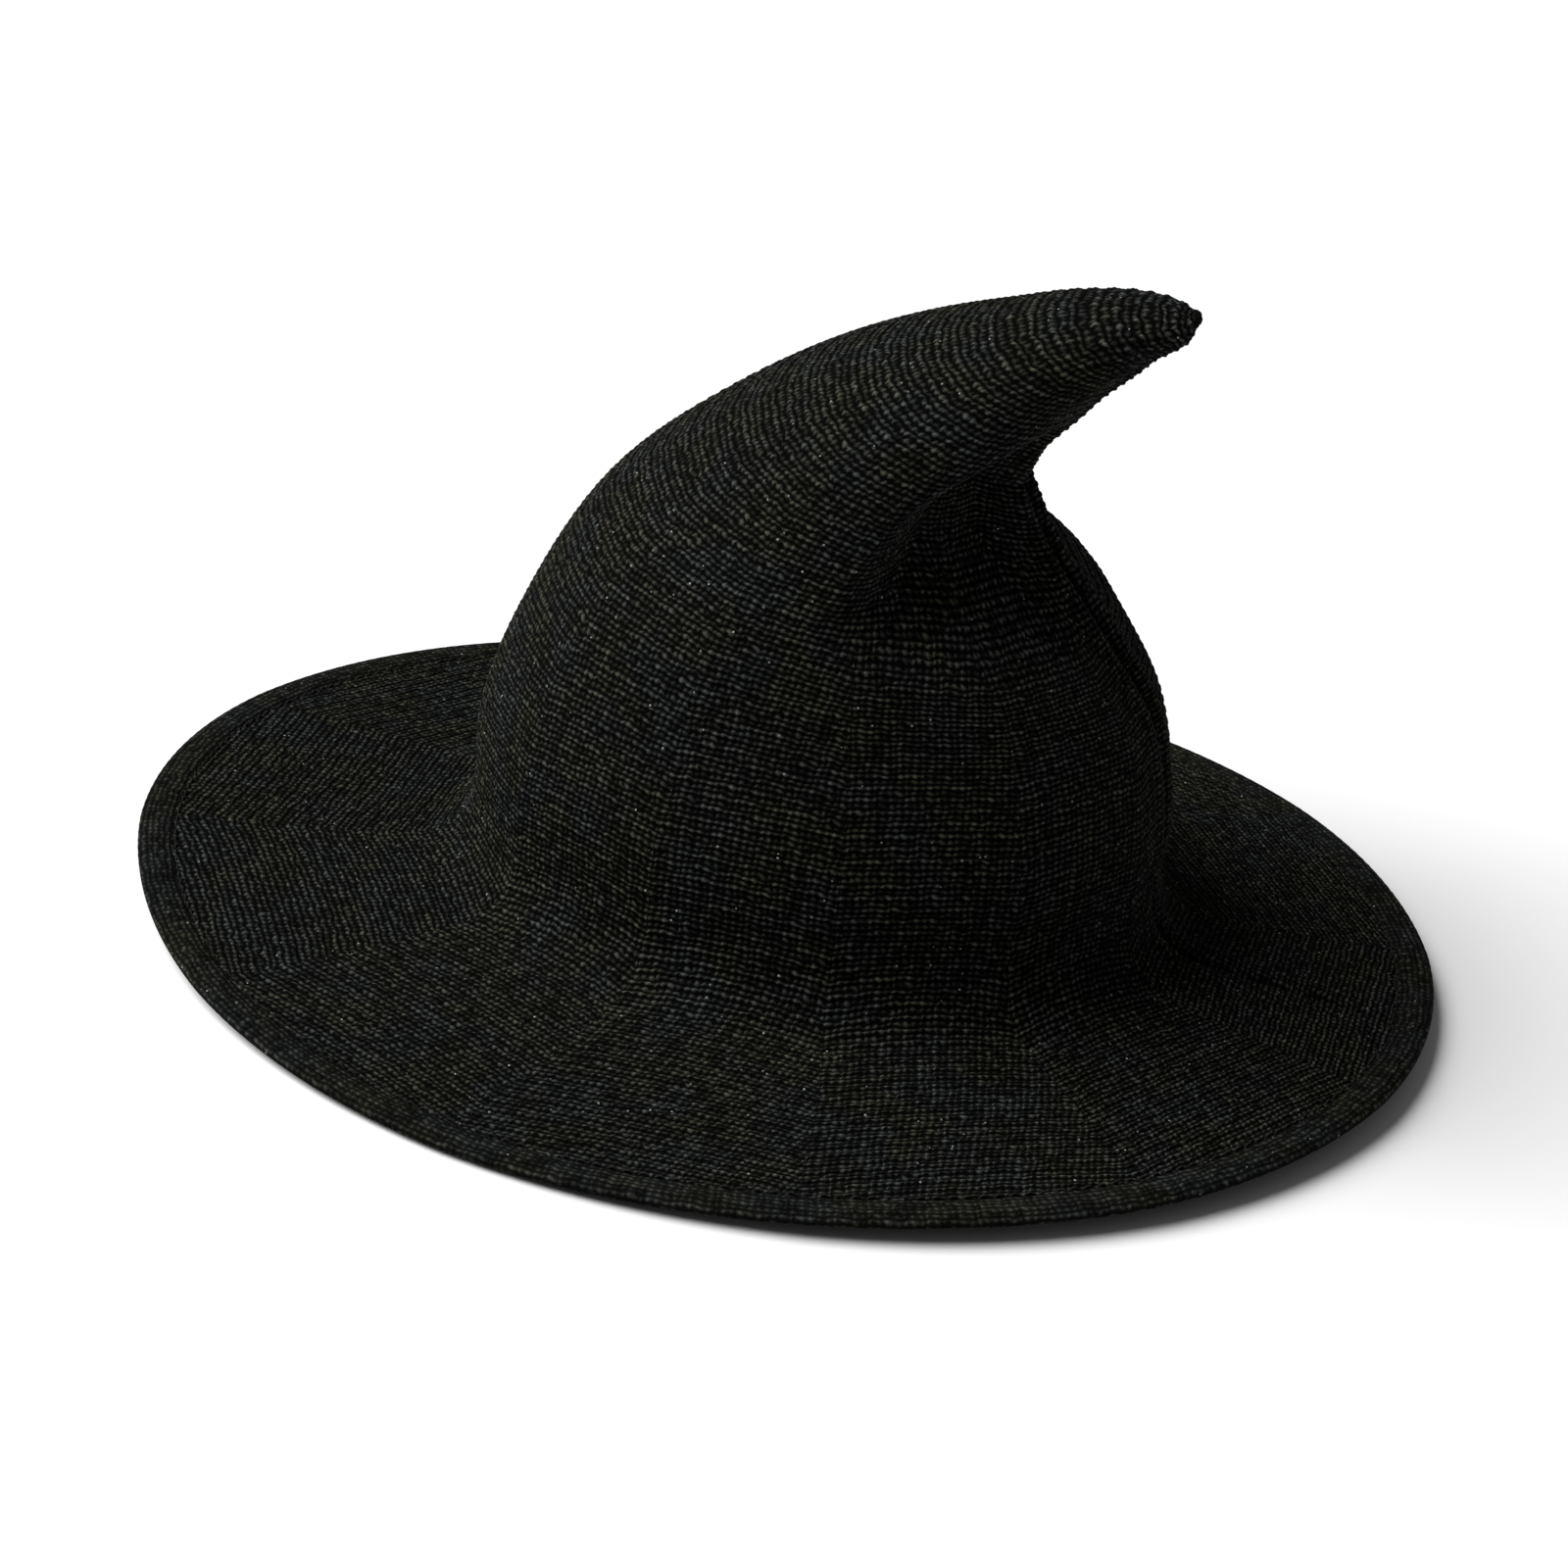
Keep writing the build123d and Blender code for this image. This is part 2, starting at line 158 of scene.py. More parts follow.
def ease(x, low, high):
    """0 below low, 1 above high and smooth between."""
    t = np.clip((x - low) / (high - low), 0, 1)
    return t * t * (3 - 2 * t)


def edge_wave(turn):
    """How far the wired edge rises and falls round the brim, in mm."""
    slow = 2.9 * np.cos(2 * turn) - 1.5 * np.cos(3 * turn)
    return slow + 0.3 * np.cos(5 * turn + 1.0) + 0.2 * np.cos(7 * turn + 2.2)


def wedge_kink(turn):
    """The rounds of knitting turn at each wedge line, so they are slightly polygons."""
    phase = (turn - first_wedge) % wedge_turn - wedge_turn / 2
    return 1 / np.cos(phase) - 1.011


hollow_depth, swell_height = 0.36, 0.05  # shares of the crown's half width
hollow_edge = 69  # degrees from the seam, at the fold
at_seam = 0.2  # share of the hollow that is left at the seam
swell_side, swell_above = 1.05, 6  # radians from the seam and ridges above the fold


def fold_hollow(v, turn):
    """The hollow on each side of the fold. Its front edge is a ridge that runs up and
    back on to the tip, and the tip swells a little above it."""
    side = np.abs((turn + math.pi) % (2 * math.pi) - math.pi)[None, :]
    above = (v - ridge_at[fold])[:, None]
    edge = np.radians(hollow_edge - 1.6 * above - 0.1 * np.maximum(above, 0) ** 2)
    hollow = ease(edge - side, -0.05, 0.38) * (at_seam + (1 - at_seam) * ease(side, 0.06, 0.4))
    hollow = hollow * ease(above, -15, -4) * (1 - ease(above, 3, 10))
    swell = np.exp(-(((side - swell_side) / 0.42) ** 2) - ((above - swell_above) / 4) ** 2)
    return swell_height * swell - hollow_depth * hollow


def fabric_base(v, turn):
    """The fabric's face without its stitches: v counts ridges, turn starts at the seam."""
    front = smooth_curve(ridge_at, front_line, v)
    half = smooth_curve(ridge_at, half_widths, v)[:, 0]
    soft_back = smooth_curve(ridge_at, back_line, v)
    below = smooth_curve(ridge_at[: fold + 1], back_line[: fold + 1], np.minimum(v, ridge_at[fold]))
    above = smooth_curve(ridge_at[fold:], back_line[fold:], np.maximum(v, ridge_at[fold]))
    sharp_back = np.where((v < ridge_at[fold])[:, None], below, above)
    crease = ease(np.cos(turn), 0.2, 0.9)[None, :, None]
    back = soft_back[:, None, :] + (sharp_back - soft_back)[:, None, :] * crease
    front = front[:, None, :]
    centre, run = (front + back) / 2, (back - front) / 2
    facet = edge_facet + 0.15 * ease(v, 0, ridge_at[foot])
    size = 1 + facet[:, None] * wedge_kink(turn)[None, :] + fold_hollow(v, turn)
    points = np.empty((len(v), len(turn), 3))
    points[..., 0] = centre[..., 0] + run[..., 0] * np.cos(turn) * size
    points[..., 1] = half[:, None] * np.sin(turn) * size
    points[..., 2] = centre[..., 1] + run[..., 1] * np.cos(turn) * size
    wave = 1 - ease(v, 0, ridge_at[1])
    points[..., 2] += wave[:, None] * edge_wave(turn)[None, :]
    return points


def stitch_places(points, turn):
    """Places round the hat in stitches, counted from the wedge line before and from the
    line a column earlier where a column lies on a line, and the distance to the seam."""
    columns = len(turn)
    steps = np.linalg.norm(np.roll(points, -1, axis=1) - points, axis=2)
    way = np.concatenate([np.zeros((len(points), 1)), np.cumsum(steps, axis=1)], axis=1)
    here, whole = way[:, :-1], way[:, -1:]

    def since_line(number):
        start = np.rint((first_wedge + number * wedge_turn) / (2 * math.pi) * columns).astype(int)
        return here - way[:, start % columns] - whole * (start // columns)

    wedge = (turn - first_wedge) / wedge_turn
    after = since_line(np.floor(wedge + 1e-6)) / stitch_width
    before = since_line(np.ceil(wedge - 1e-6) - 1) / stitch_width
    return after, before, np.minimum(here, whole - here)


def loop_height(u, v):
    """How far the loops stand out: 0 in a groove, 1 on the largest loops."""
    row = 0.5 + 0.5 * np.cos(2 * math.pi * (v - 0.25))
    half_row = 0.5 + 0.5 * np.cos(4 * math.pi * (v - 0.25))
    loop = 0.5 + 0.5 * np.cos(2 * math.pi * (u - 0.25))
    return 0.45 * half_row + 0.25 * row + 0.3 * loop * row


# The seam's groove, in mm: its depth at the hem, what the brim, the foot of the crown and
# the crown's wall add to it, and its reach to each side.
groove_at_hem, groove_on_brim, groove_at_foot, groove_on_crown = 0.5, 0.6, 0.8, 1.8
groove_reach, more_reach_on_crown = 1.3, 0.7
lip_place, lip_reach, lip_share = 6.5, 3.0, 0.4  # the knit swells beside the groove


def knit_grid(low, high, columns):
    """The stitched face, plain inner side and stitch places of a band of the fabric."""
    v = np.linspace(low, high, 4 * round((high - low) * rows_per_ridge / 4) + 1)
    turn = np.arange(columns) * 2 * math.pi / columns
    base = fabric_base(v, turn)
    out = np.cross((np.roll(base, -1, axis=1) - np.roll(base, 1, axis=1)), np.gradient(base, axis=0))
    out /= np.maximum(np.linalg.norm(out, axis=2, keepdims=True), 1e-9)
    u, u_end, seam = stitch_places(base, turn)
    on_crown = ease(v, ridge_at[foot] - 3, ridge_at[foot] + 5)
    # The rounds' corners at the wedge lines show most on the brim and fade up the crown.
    corners = 1 - 0.5 * on_crown - 0.35 * ease(v, ridge_at[foot], ridge_at[fold])
    radius = np.hypot(base[..., 0] - crown_x, base[..., 1]) * corners[:, None]
    ridge = v[:, None] + wedge_kink(turn)[None, :] * radius / ridge_height
    at_foot = np.exp(-(((v - ridge_at[foot] + 6) / 4.0) ** 2))
    depth = groove_at_hem + groove_on_brim * ease(v, 0, 6)
    depth = (depth + groove_on_crown * on_crown + groove_at_foot * at_foot)[:, None]
    reach = groove_reach + more_reach_on_crown * on_crown[:, None]
    groove = depth * np.exp(-((seam / reach) ** 2))
    lips = lip_share * depth * np.exp(-(((seam - lip_place) / lip_reach) ** 2))
    height = loop_height(u, ridge)
    lift = knit_relief * (height - middle_height) - groove + lips
    # The height kept for the colour drops in the seam's groove, which paints shade into the groove.
    height = height - 0.6 * np.minimum(groove, 1.6)
    return {
        "base": base, "face": base + out * lift[..., None],
        "inner": base - out * (knit_thickness + 0.6 * groove)[..., None],
        "u": u, "u_end": u_end, "v": ridge, "height": height,
    }


def mesh_object(name, points, faces, corner_places, heights=None):
    """A mesh object, from mm, with a stitch map and the loops' height on its points."""
    mesh = bpy.data.meshes.new(name)
    sizes = np.array([len(f) for f in faces])
    mesh.vertices.add(len(points))
    mesh.vertices.foreach_set("co", (points * mm).ravel())
    mesh.loops.add(int(sizes.sum()))
    mesh.loops.foreach_set("vertex_index", np.concatenate(faces).astype(np.int32))
    mesh.polygons.add(len(faces))
    mesh.polygons.foreach_set("loop_start", np.concatenate([[0], np.cumsum(sizes)[:-1]]))
    mesh.polygons.foreach_set("loop_total", sizes)
    mesh.uv_layers.new(name="stitches").uv.foreach_set("vector", corner_places.ravel())
    if heights is not None:
        loft = mesh.attributes.new("loft", "FLOAT", "POINT")
        loft.data.foreach_set("value", heights.astype(np.float32))
    mesh.update(calc_edges=True)
    mesh.validate()
    mesh.polygons.foreach_set("use_smooth", sizes == 4)
    edge_of = np.empty(len(mesh.loops), np.int32)
    mesh.loops.foreach_get("edge_index", edge_of)
    sharp = np.zeros(len(mesh.edges), bool)
    sharp[edge_of[np.repeat(sizes != 4, sizes)]] = True
    mesh.attributes.new("sharp_edge", "BOOLEAN", "EDGE").data.foreach_set("value", sharp)
    made = bpy.data.objects.new(name, mesh)
    bpy.context.scene.collection.objects.link(made)
    return made


def quad_places(grid, left, right, every=1):
    """Stitch places of the corners of each quad: low left, low right, high right, high left."""
    u, u_end, v = (grid[k][::every] for k in ("u", "u_end", "v"))
    across = np.stack([u[:-1, left], u_end[:-1, right], u_end[1:, right], u[1:, left]], -1)
    up = np.stack([v[:-1, left], v[:-1, right], v[1:, right], v[1:, left]], -1)
    return np.stack([across, up], -1)


def fabric_piece(name, grid, low, high, coarse=4):
    """A closed piece of fabric between two turns: stitched face, plain inner side, rims."""
    columns = grid["face"].shape[1]
    first, last = round(low / 360 * columns), round(high / 360 * columns)
    whole_round = last - first == columns
    span = np.arange(first, last + (not whole_round)) % columns
    face, inner = grid["face"][:, span], grid["inner"][::coarse, span[::coarse]]
    at = np.arange(face[..., 0].size).reshape(face.shape[:2])
    back_at = at.size + np.arange(inner[..., 0].size).reshape(inner.shape[:2])
    if whole_round:
        at, back_at = np.c_[at, at[:, :1]], np.c_[back_at, back_at[:, :1]]
    quads = np.stack([at[:-1, :-1], at[:-1, 1:], at[1:, 1:], at[1:, :-1]], -1)
    back = np.stack(
        [back_at[:-1, :-1], back_at[1:, :-1], back_at[1:, 1:], back_at[:-1, 1:]], -1
    )
    borders = [(at[0], back_at[0], False)]
    if whole_round:
        rims = [at[-1][:-1], back_at[-1][:-1][::-1]]
    else:
        rims = []
        borders += [
            (at[-1], back_at[-1], True),
            (at[:, 0], back_at[:, 0], True),
            (at[:, -1], back_at[:, -1], False),
        ]
    for fine, rough, turned in borders:
        for k in range(len(rough) - 1):
            ring = [rough[k], rough[k + 1], *fine[coarse * k : coarse * k + coarse + 1][::-1]]
            rims.append(np.array(ring[::-1] if turned else ring))
    point_places = np.concatenate([
        np.stack([grid[k][:, span].ravel() for k in ("u", "v")], -1),
        np.stack([grid[k][::coarse, span[::coarse]].ravel() for k in ("u", "v")], -1),
    ])
    step = np.arange(first, last)
    rough_step = np.arange(first, last, coarse)
    corner_places = np.concatenate([
        quad_places(grid, step % columns, (step + 1) % columns).reshape(-1, 2),
        quad_places(grid, rough_step % columns, (rough_step + coarse) % columns, coarse)[
            :, :, [0, 3, 2, 1]
        ].reshape(-1, 2),
        point_places[np.concatenate(rims)],
    ])
    points = np.concatenate([face.reshape(-1, 3), inner.reshape(-1, 3)])
    heights = np.concatenate([
        grid["height"][:, span].ravel(), np.full(inner[..., 0].size, plain_loft)
    ])
    faces = [*quads.reshape(-1, 4), *back.reshape(-1, 4), *rims]
    piece = mesh_object(name, points, faces, corner_places, heights)
    patch = grid["base"][:, np.arange(first, last + 1) % columns]
    width = np.linalg.norm(np.diff(patch, axis=1), axis=2).sum(axis=1).max()
    length = np.linalg.norm(np.diff(patch, axis=0), axis=2).sum(axis=0).max()
    crossed = np.cross(patch[1:, 1:] - patch[:-1, :-1], patch[1:, :-1] - patch[:-1, 1:])
    area = np.linalg.norm(crossed, axis=2).sum() / 2
    return piece, (width * mm, length * mm), area * mm * mm


# The brim has twice the crown's columns and the crown twice the tip's. Where they meet,
# every other point of the finer one lies half way between two of the coarser one's.
crown_columns = 576
brim_grid = knit_grid(0, ridge_at[foot], 2 * crown_columns)
crown_grid = knit_grid(ridge_at[foot], ridge_at[fold], crown_columns)
tip_grid = knit_grid(ridge_at[fold], ridge_at[-1], crown_columns // 2)
for fine, rough in ((brim_grid, crown_grid), (crown_grid, tip_grid)):
    for side in ("face", "inner"):
        line = rough[side][0]
        fine[side][-1, ::2] = line
        fine[side][-1, 1::2] = (line + np.roll(line, -1, axis=0)) / 2


def shader_of(material):
    material.use_nodes = True
    return material.node_tree.nodes["Principled BSDF"]


class Nodes:
    """Short ways to add and join a material's nodes."""

    def __init__(self, material):
        self.tree = material.node_tree

    def add(self, kind, **settings):
        node = self.tree.nodes.new(kind)
        for name, value in settings.items():
            setattr(node, name, value)
        return node

    def join(self, start, end):
        self.tree.links.new(start, end)

    def put(self, value, socket):
        if isinstance(value, bpy.types.NodeSocket):
            self.join(value, socket)
        else:
            socket.default_value = (*value, 1) if isinstance(value, tuple) else value

    def maths(self, operation, a, b=0.0):
        node = self.add("ShaderNodeMath", operation=operation)
        self.put(a, node.inputs[0])
        self.put(b, node.inputs[1])
        return node.outputs[0]

    def noise(self, coords, scale, detail=2.0, roughness=0.5):
        node = self.add("ShaderNodeTexNoise")
        node.inputs["Scale"].default_value = scale
        node.inputs["Detail"].default_value = detail
        node.inputs["Roughness"].default_value = roughness
        self.join(coords, node.inputs["Vector"])
        return node.outputs["Fac"]

    def ramp(self, value, *stops):
        node = self.add("ShaderNodeValToRGB")
        while len(node.color_ramp.elements) < len(stops):
            node.color_ramp.elements.new(0.5)
        for element, (place, colour) in zip(node.color_ramp.elements, stops):
            element.position = place
            element.color = (*colour, 1)
        self.join(value, node.inputs["Fac"])
        return node.outputs["Color"]

    def mix(self, share, a, b, blend="MIX"):
        node = self.add("ShaderNodeMix", data_type="RGBA", blend_type=blend)
        for value, socket in zip((share, a, b), (node.inputs[0], node.inputs[6], node.inputs[7])):
            self.put(value, socket)
        return node.outputs[2]

    def grey(self, value):
        """A number as a shade of grey, which may be brighter than white."""
        node = self.add("ShaderNodeCombineColor")
        for socket in node.inputs:
            self.join(value, socket)
        return node.outputs[0]

    def bump(self, height, distance, strength=1.0):
        node = self.add("ShaderNodeBump")
        node.inputs["Strength"].default_value = strength
        node.inputs["Distance"].default_value = distance
        self.join(height, node.inputs["Height"])
        return node.outputs["Normal"]


def yarn_finish(name, top, hole_shade, loop, glint_share):
    """Black yarn in a fine grid of loops, two across and two up each stitch of the map.
    The loops differ, painted shade darkens the holes between them, and a few specks of tinsel are
    painted light grey as glints and shine."""
    material = bpy.data.materials.new(name)
    shader = shader_of(material)
    n = Nodes(material)
    # The map's two directions, a little uneven, and a number by chance for each loop.
    coords = n.add("ShaderNodeTexCoord").outputs["Object"]
    split = n.add("ShaderNodeSeparateXYZ")
    n.join(n.add("ShaderNodeUVMap", uv_map="stitches").outputs["UV"], split.inputs[0])
    uneven = n.maths("MULTIPLY", n.maths("SUBTRACT", n.noise(coords, 260, 1.5), 0.5), 1.3)
    across = n.maths("ADD", n.maths("MULTIPLY", split.outputs[0], 2.0), uneven)
    up = n.maths("SUBTRACT", n.maths("MULTIPLY", split.outputs[1], 2.0), uneven)
    cell = n.add("ShaderNodeCombineXYZ")
    n.join(n.maths("FLOOR", across), cell.inputs[0])
    n.join(n.maths("FLOOR", up), cell.inputs[1])
    chance = n.add("ShaderNodeTexWhiteNoise", noise_dimensions="2D")
    n.join(cell.outputs[0], chance.inputs["Vector"])
    # The loops' height: 0 in the holes and 1 on the loops, with a thread between the rows.
    near_row = n.maths("MULTIPLY", n.maths("PINGPONG", up, 0.5), 2.0)
    near_loop = n.maths("MULTIPLY", n.maths("PINGPONG", across, 0.5), 2.0)
    thin_row = n.maths("MULTIPLY", n.maths("GREATER_THAN", n.maths("PINGPONG", up, 1.0), 0.5), 0.4)
    near_loop = n.maths("MAXIMUM", near_loop, thin_row)
    height = n.maths("MULTIPLY", n.maths("POWER", near_row, 0.8), n.maths("POWER", near_loop, 0.8))
    # The shade: painted shade and light from the loops' height, dark holes and bright loops, then
    # uneven loops, fibres, and painted shade darkening the grooves of the modelled relief.
    curve = n.add("ShaderNodeMapRange", interpolation_type="SMOOTHSTEP")
    n.join(height, curve.inputs["Value"])
    for socket, value in zip(curve.inputs[1:5], (0.12, 0.85, hole_shade, loop)):
        socket.default_value = value
    level = n.maths("ADD", 0.3, n.maths("MULTIPLY", chance.outputs["Value"], 1.4))
    fibres = n.maths("ADD", 0.55, n.maths("MULTIPLY", n.noise(coords, 1500, 3.0, 0.7), 0.9))
    loft = n.add("ShaderNodeAttribute", attribute_name="loft").outputs["Fac"]
    shade = n.maths("MULTIPLY", n.maths("MULTIPLY", curve.outputs["Result"], level), fibres)
    # The modelled relief's height darkens its grooves too, as painted shade.
    shade = n.maths("MULTIPLY", shade, n.maths("ADD", 0.45, n.maths("MULTIPLY", loft, 0.8)))
    tint = n.ramp(
        n.noise(coords, 55, 1.0),
        (0.4, (top * 0.93, top * 1.05, top * 0.97)),
        (0.6, (top * 1.05, top * 1.08, top * 0.76)),
    )
    colour = n.mix(1.0, tint, n.grey(shade), "MULTIPLY")
    # The specks of tinsel, painted light grey as glints and made smoother: the middles of a few small
    # cells.
    spots = n.add("ShaderNodeTexVoronoi", feature="F1")
    spots.inputs["Scale"].default_value = 720
    n.join(coords, spots.inputs["Vector"])
    chosen = n.add("ShaderNodeSeparateColor")
    n.join(spots.outputs["Color"], chosen.inputs[0])
    tinsel_glint = n.maths("MULTIPLY", n.maths("LESS_THAN", spots.outputs["Distance"], 0.22),
                    n.maths("GREATER_THAN", chosen.outputs[0], 1 - glint_share))
    n.join(n.mix(tinsel_glint, colour, (0.2, 0.21, 0.2)), shader.inputs["Base Color"])
    n.join(n.maths("SUBTRACT", 0.9, n.maths("MULTIPLY", tinsel_glint, 0.5)), shader.inputs["Roughness"])
    fine = n.maths("MULTIPLY", n.noise(coords, 2600, 3.0, 0.7), 0.3)
    n.join(n.bump(n.maths("ADD", height, fine), 0.0007, 0.9), shader.inputs["Normal"])
    shader.inputs["Specular IOR Level"].default_value = 0.03
    return material


def follow(piece, place):
    """Bakes a piece of the brim's front or back in place, and attaches any other piece to the crown.
    """
    if place in ("front", "back"):
        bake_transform(piece)
    else:
        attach(piece, "crown")


knit_finish = yarn_finish("black_knit", 0.0185, 0.03, 1.9, 0.018)
brim_spans = {"back": (-75, 75), "right": (75, 105), "front": (105, 255), "left": (255, 285)}
brim_nodes = {"back": ["brim_back_knit"], "front": ["brim_front_knit"]}
for place, (low, high) in brim_spans.items():
    piece, flat, area = fabric_piece(f"brim_{place}_fabric", brim_grid, low, high)
    piece.data.materials.append(knit_finish)
    follow(piece, place)
    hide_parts("brim_sides_knit", *brim_nodes.get(place, []))

crown_spans = {
    "crown_right": (crown_grid, 0, 105), "crown_front": (crown_grid, 105, 255),
    "crown_left": (crown_grid, 255, 360), "tip": (tip_grid, 0, 360),
}
for place, (grid, low, high) in crown_spans.items():
    piece, flat, area = fabric_piece(f"{place}_fabric", grid, low, high)
    piece.data.materials.append(knit_finish)
    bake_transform(piece)
    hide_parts("tip_knit" if place == "tip" else "crown_knit")

# ------------------------------------------------------------------ the hem
# The brim's edge is turned under and stitched down, which leaves a soft flat tunnel for
# the wire. It is the same yarn, worked tighter, so its loops show less, with less relief and less
# painted shade in its holes.
hem_half_width, hem_half_height = 5.2, 2.1
hem_relief = 0.06  # share of the hem's size from a groove to the top of a loop
hem_points = 28  # round the hem


def hem_line(turn, inset, rise=0.0):
    """A line round the brim, a distance in from its outer edge, with the edge's wave."""
    size = 1 + edge_facet * wedge_kink(turn)
    return np.stack([
        (brim_half_length - inset) * np.cos(turn) * size,
        (brim_half_width - inset) * np.sin(turn) * size,
        edge_lift + edge_wave(turn) + rise,
    ], -1)


def tube_along(centre, wide, tall, sides, across=None):
    """Points and faces of a tube with closed ends along a row of points. wide is half its
    size across, level unless a direction is given, and tall is half its size the other way."""
    ahead = np.gradient(centre, axis=0)
    ahead /= np.linalg.norm(ahead, axis=1, keepdims=True)
    if across is None:
        across = np.cross(ahead, (0.0, 0.0, 1.0))
        across /= np.linalg.norm(across, axis=1, keepdims=True)
    else:
        across = np.broadcast_to(across, ahead.shape)
    lift = np.cross(across, ahead)
    way = np.arange(sides) * 2 * math.pi / sides
    wide, tall = (np.reshape(size, (-1, 1, 1)) for size in (wide, tall))
    ring = wide * np.cos(way)[:, None] * across[:, None] + tall * np.sin(way)[:, None] * lift[:, None]
    at = np.arange(len(centre) * sides).reshape(-1, sides)
    closed = np.c_[at, at[:, :1]]
    quads = np.stack(
        [closed[:-1, :-1], closed[1:, :-1], closed[1:, 1:], closed[:-1, 1:]], -1
    ).reshape(-1, 4)
    return (centre[:, None] + ring).reshape(-1, 3), [*quads, at[0], at[-1][::-1]]


def hem_piece(name, low, high):
    """A stretch of hem: a flat tube of knit with closed ends, boxy on its inner side."""
    columns = 2 * crown_columns
    span = np.arange(round(low / 360 * columns), round(high / 360 * columns) + 1)
    turn = span * 2 * math.pi / columns
    centre = hem_line(turn, hem_half_width)
    ahead = hem_line(turn + 1e-3, hem_half_width) - hem_line(turn - 1e-3, hem_half_width)
    out = np.cross(ahead, (0.0, 0.0, 1.0))
    out /= np.linalg.norm(out, axis=1, keepdims=True)
    way = np.arange(hem_points + 1) * 2 * math.pi / hem_points
    flat = np.sign(np.cos(way)) * np.abs(np.cos(way)) ** 0.8
    boxy = np.where(np.cos(way) < 0, 0.35, 0.75)
    tall = np.sign(np.sin(way)) * np.abs(np.sin(way)) ** boxy
    flat, tall = hem_half_width * flat, hem_half_height * tall
    round_way = np.concatenate([[0], np.cumsum(np.hypot(np.diff(flat), np.diff(tall)))])
    along = np.concatenate([[0], np.cumsum(path_steps(centre))])
    u = np.broadcast_to((along / stitch_width)[:, None], (len(turn), len(way)))
    v = np.broadcast_to(round_way / ridge_height, u.shape)
    height = loop_height(u, v)
    size = 1 + hem_relief * (height - middle_height)
    points = centre[:, None] + (flat * size)[..., None] * out[:, None]
    points[..., 2] += tall * size
    points = points[:, :-1]
    at = np.arange(points[..., 0].size).reshape(points.shape[:2])
    ring = np.c_[at, at[:, :1]]
    quads = np.stack([ring[:-1, :-1], ring[1:, :-1], ring[1:, 1:], ring[:-1, 1:]], -1)
    places = np.stack([u, v], -1)
    quad_corners = np.stack(
        [places[:-1, :-1], places[1:, :-1], places[1:, 1:], places[:-1, 1:]], 2
    )
    corner_places = np.concatenate([
        quad_corners.reshape(-1, 2), places[0, :-1], places[-1, :-1][::-1]
    ])
    faces = [*quads.reshape(-1, 4), at[0], at[-1][::-1]]
    piece = mesh_object(name, points.reshape(-1, 3), faces, corner_places, height[:, :-1].ravel())
    return piece, (along[-1] * mm, round_way[-1] / 2 * mm)


# Less painted shade in the hem's holes than in the knit's.
hem_finish = yarn_finish("hem_yarn", 0.0185, 0.2, 1.35, 0.012)
for place, (low, high) in brim_spans.items():
    piece, flat = hem_piece(f"hem_{place}_edge", low, high)
    piece.data.materials.append(hem_finish)
    follow(piece, place)
    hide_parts(f"hem_{place}")

# ------------------------------------------------------------------ the hem's wire
# A loop of springy steel wire lies in the hem and holds the brim's shape. Its two ends
# meet at the back seam, inside a small crimped sleeve.
wire_radius = 0.8
sleeve_wall = 0.6
sleeve_turn = 2.3  # degrees to each side of the seam
steel = bpy.data.materials.new("drawn_steel")
steel_shader = shader_of(steel)
steel_shader.inputs["Base Color"].default_value = (0.35, 0.35, 0.36, 1)
steel_shader.inputs["Metallic"].default_value = 1.0
n = Nodes(steel)
steel_coords = n.add("ShaderNodeTexCoord").outputs["Object"]
n.join(n.maths("ADD", 0.25, n.maths("MULTIPLY", n.noise(steel_coords, 900, 2.0), 0.25)),
       steel_shader.inputs["Roughness"])


def wire_length(name, line, radius):
    """A length of round wire along a line of points in mm, with capped ends."""
    bpy.ops.curve.primitive_nurbs_path_add(location=(0, 0, 0))
    wire = bpy.context.object
    wire.name = name
    wire.data.splines.clear()
    path = wire.data.splines.new("POLY")
    path.points.add(len(line) - 1)
    for point, place in zip(path.points, line * mm):
        point.co = (*place, 1)
    wire.data.bevel_depth = radius * mm
    wire.data.bevel_resolution = 2
    wire.data.use_fill_caps = True
    bpy.ops.object.convert(target="MESH")
    bpy.ops.object.mode_set(mode="EDIT")
    bpy.ops.mesh.select_all(action="SELECT")
    bpy.ops.mesh.remove_doubles(threshold=1e-6)
    bpy.ops.object.mode_set(mode="OBJECT")
    bpy.ops.object.shade_smooth()
    return wire


for place, (low, high) in brim_spans.items():
    turn = np.radians(np.linspace(low, high, (high - low) // 3 + 1))
    piece = wire_length(f"hem_{place}_wire", hem_line(turn, hem_half_width), wire_radius)
    piece.data.materials.append(steel)
    follow(piece, place)
    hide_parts(f"hem_wire_{place}")

sleeve_line = hem_line(np.radians(np.linspace(-sleeve_turn, sleeve_turn, 5)), hem_half_width)
sleeve = wire_length("wire_sleeve", sleeve_line, wire_radius + sleeve_wall)
sleeve.data.materials.append(steel)
follow(sleeve, "back")
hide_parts("wire_ferrule")

# ------------------------------------------------------------------ the hem's stitching
# A row of short stitches in black thread, just inside the hem on both faces of the brim.
# They hold the turned edge down, and sink into the knit.
thread = bpy.data.materials.new("black_thread")
thread_shader = shader_of(thread)
n = Nodes(thread)
thread_coords = n.add("ShaderNodeTexCoord").outputs["Object"]
thread_tone = n.ramp(n.noise(thread_coords, 1800, 2.0),
                     (0.3, (0.006, 0.006, 0.006)), (0.7, (0.016, 0.017, 0.015)))
n.join(thread_tone, thread_shader.inputs["Base Color"])
thread_shader.inputs["Roughness"].default_value = 0.8
thread_shader.inputs["Specular IOR Level"].default_value = 0.05
stitch_turn = 360 / 264  # degrees of the brim for a stitch and its gap
stitch_inset = 2 * hem_half_width + 0.4  # mm in from the brim's edge, just past the hem
stitch_part = np.linspace(0.12, 0.88, 5)  # the part of each turn that the stitch takes
bow = np.sin(np.linspace(0, math.pi, 5))  # a stitch dips into the knit at both ends
